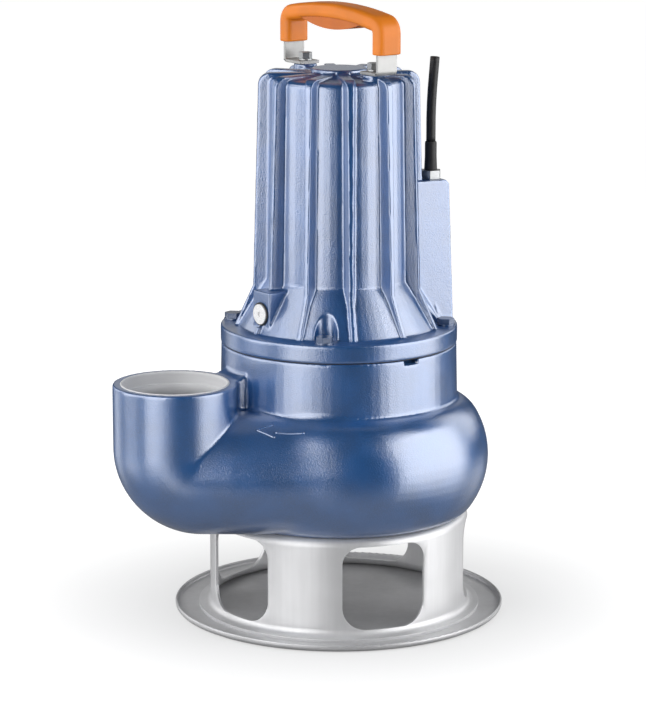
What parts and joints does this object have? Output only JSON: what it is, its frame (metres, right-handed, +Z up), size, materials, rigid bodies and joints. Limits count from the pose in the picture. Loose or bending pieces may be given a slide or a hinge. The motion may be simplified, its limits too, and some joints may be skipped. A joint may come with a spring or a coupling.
{
  "type": "submersible sewage pump",
  "caption": "Free-standing submersible sewage pump: volute with a vertical threaded discharge port, ribbed motor casing, carrying handle, cable stub and windowed steel stand.",
  "frame": {"origin": "on the shaft's axis, at the underside of the base plate", "axes": "+Z up along the shaft, -X towards the side with the discharge port, -Y towards the front of the picture"},
  "size_m": [0.3305, 0.284, 0.522],
  "materials": {
    "cast_blue": "blue two-pack paint over a fine sand casting",
    "painted_bolt": "blue paint over a steel bolt",
    "cast_grey": "grey primed casting",
    "port_face": "pale machined face of the discharge port",
    "stainless": "satin pressed stainless sheet",
    "strap_steel": "brushed stainless strap",
    "bright_steel": "turned bright steel",
    "lamination": "stacked electrical sheet",
    "copper": "enamelled copper wire",
    "aluminium": "cast aluminium",
    "ceramic": "ground ceramic",
    "rubber": "black nitrile",
    "cable_black": "black rubber sheath",
    "grip_orange": "orange moulded polyamide, fine texture",
    "black_screw": "blacked steel screw"
  },
  "bodies": {
    "housing": {"base_plate": "stainless", "stand_column": "stainless", "stand_screws": "bright_steel", "pump_body": "cast_blue", "body_o_ring": "rubber", "seal_plate": "cast_grey", "casing_gasket": "rubber", "motor_casing": "cast_blue", "flange_bolts": "painted_bolt", "oil_plug": "bright_steel", "oil_plug_ring": "rubber", "bearing_bracket": "cast_grey", "bracket_ring": "bright_steel", "lower_bearing_outer": "bright_steel", "upper_bearing_outer": "bright_steel", "wave_washer": "bright_steel", "stator_core": "lamination", "stator_windings": "copper", "lower_seal_seat": "ceramic", "upper_seal_seat": "ceramic", "gland_nut": "bright_steel", "gland_seal": "rubber", "cable_boot": "cable_black", "power_cable": "cable_black", "handle_strap": "strap_steel", "handle_bolts": "bright_steel", "handle_washers": "bright_steel", "handle_grip": "grip_orange", "grip_insert": "grip_orange", "grip_screws": "black_screw"},
    "rotor": {"shaft": "bright_steel", "shaft_ring": "bright_steel", "rotor_core": "lamination", "rotor_end_rings": "aluminium", "lower_bearing_inner": "bright_steel", "upper_bearing_inner": "bright_steel", "lower_seal_ring": "rubber", "seal_spring": "bright_steel", "upper_seal_ring": "rubber", "impeller": "cast_grey", "impeller_key": "bright_steel", "impeller_washer": "bright_steel", "impeller_screw": "bright_steel"},
    "lower_balls": {"lower_bearing_balls": "bright_steel"},
    "upper_balls": {"upper_bearing_balls": "bright_steel"}
  },
  "joints": [
    {"name": "rotor_spin", "type": "hinge", "parent": "housing", "child": "rotor", "pos_m": [0, 0, 0.3], "axis": [0, 0, 1], "continuous": true},
    {"name": "lower_ball_orbit", "type": "hinge", "parent": "housing", "child": "lower_balls", "pos_m": [0, 0, 0.2845], "axis": [0, 0, 1], "continuous": true},
    {"name": "upper_ball_orbit", "type": "hinge", "parent": "housing", "child": "upper_balls", "pos_m": [0, 0, 0.448], "axis": [0, 0, 1], "continuous": true}
  ],
  "couplings": [
    {"joint": "lower_ball_orbit", "follows": "rotor_spin", "ratio": 0.3961},
    {"joint": "upper_ball_orbit", "follows": "rotor_spin", "ratio": 0.3806}
  ]
}
